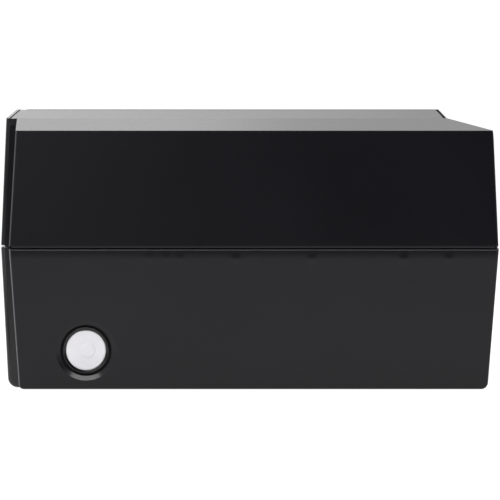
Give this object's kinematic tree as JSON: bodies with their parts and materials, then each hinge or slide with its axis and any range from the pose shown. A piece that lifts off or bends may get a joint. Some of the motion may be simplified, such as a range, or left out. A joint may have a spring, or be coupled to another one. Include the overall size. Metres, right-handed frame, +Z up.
{
  "type": "receipt printer",
  "caption": "Desktop receipt printer in a black clamshell case with faceted cheeks, a front paper mouth, a hinged cover over the paper well and a round power button low on one side.",
  "frame": {"origin": "on the surface that the printer stands on, under the middle of its outline", "axes": "+X from the paper mouth at the front to the sockets at the back, +Z up, power button on the -Y side"},
  "size_m": [0.1994, 0.145, 0.1088],
  "materials": {
    "case_plastic": "fine-textured moulded black ABS",
    "panel_plastic": "smooth satin black ABS",
    "button_plastic": "satin white ABS",
    "inner_plastic": "dark grey moulded ABS",
    "ring_plastic": "polished dark grey ABS",
    "light_plastic": "clear polycarbonate",
    "gear_plastic": "natural acetal",
    "socket_plastic": "black nylon",
    "sheet_steel": "zinc-plated steel sheet",
    "turned_steel": "turned steel",
    "blade_steel": "hardened ground steel",
    "motor_steel": "black coated steel",
    "socket_steel": "nickel-plated steel",
    "heatsink_aluminium": "extruded aluminium",
    "head_ceramic": "glazed alumina, as a gloss surface",
    "bush_brass": "sintered bronze",
    "board_laminate": "green solder-masked laminate",
    "platen_rubber": "ground black rubber",
    "foot_rubber": "black rubber"
  },
  "bodies": {
    "base": {"base_case": "case_plastic", "base_cheek_right": "case_plastic", "base_cheek_left": "case_plastic", "hinge_pins": "turned_steel", "roll_bin": "inner_plastic", "mech_frame": "sheet_steel", "print_head": "head_ceramic", "head_heatsink": "heatsink_aluminium", "head_springs": "turned_steel", "idler_shaft": "turned_steel", "stepper_motor": "motor_steel", "cutter_slideways": "inner_plastic", "paper_guide": "inner_plastic", "strike_pins": "turned_steel", "power_button_guide": "inner_plastic", "power_switch": "socket_plastic", "switch_board": "board_laminate", "feed_switch": "socket_plastic", "panel_board": "board_laminate", "status_lights": "light_plastic", "main_board": "board_laminate", "power_socket": "socket_plastic", "usb_socket": "socket_steel", "lan_socket": "socket_steel", "drawer_socket": "socket_plastic", "bottom_plate": "sheet_steel", "bottom_screws": "turned_steel", "rubber_feet": "foot_rubber"},
    "cover": {"cover_shell": "case_plastic", "cover_cheek_right": "case_plastic", "cover_cheek_left": "case_plastic", "top_panel": "panel_plastic", "platen_bracket": "sheet_steel", "platen_bushes": "bush_brass", "fixed_blade": "blade_steel"},
    "platen": {"platen_shaft": "turned_steel", "platen_roller": "platen_rubber", "platen_gear": "gear_plastic"},
    "idler": {"idler_gear": "gear_plastic"},
    "pinion": {"motor_pinion": "bush_brass", "motor_shaft": "turned_steel"},
    "power_key": {"power_button": "button_plastic", "power_button_ring": "ring_plastic"},
    "feed_key": {"feed_button": "inner_plastic"},
    "cutter": {"cutter_blade": "blade_steel"},
    "release": {"release_shaft": "turned_steel", "release_knob": "inner_plastic", "latch_hooks": "sheet_steel"}
  },
  "joints": [
    {"name": "cover_hinge", "type": "hinge", "parent": "base", "child": "cover", "pos_m": [0.0973, 0, 0.06335], "axis": [0, 1, 0], "range_deg": [0, 72]},
    {"name": "power_press", "type": "slide", "parent": "base", "child": "power_key", "axis": [0, 1, 0], "range_m": [0, 0.0014], "stiffness_N_per_m": 600},
    {"name": "feed_press", "type": "slide", "parent": "base", "child": "feed_key", "axis": [1, 0, 0], "range_m": [0, 0.001], "stiffness_N_per_m": 600},
    {"name": "cutter_stroke", "type": "slide", "parent": "base", "child": "cutter", "axis": [0, 0, 1], "range_m": [0, 0.005]},
    {"name": "release_turn", "type": "hinge", "parent": "cover", "child": "release", "pos_m": [-0.066, 0, 0.082], "axis": [0, 1, 0], "range_deg": [0, 15], "stiffness_Nm_per_rad": 0.25},
    {"name": "platen_spin", "type": "hinge", "parent": "cover", "child": "platen", "pos_m": [-0.076, 0, 0.0661], "axis": [0, 1, 0], "continuous": true},
    {"name": "idler_spin", "type": "hinge", "parent": "base", "child": "idler", "pos_m": [-0.076, 0, 0.0401], "axis": [0, 1, 0], "continuous": true},
    {"name": "pinion_spin", "type": "hinge", "parent": "base", "child": "pinion", "pos_m": [-0.062, 0, 0.0221], "axis": [0, 1, 0], "continuous": true}
  ],
  "couplings": [
    {"joint": "idler_spin", "follows": "platen_spin", "ratio": -0.44444},
    {"joint": "pinion_spin", "follows": "platen_spin", "ratio": 1.6667}
  ]
}
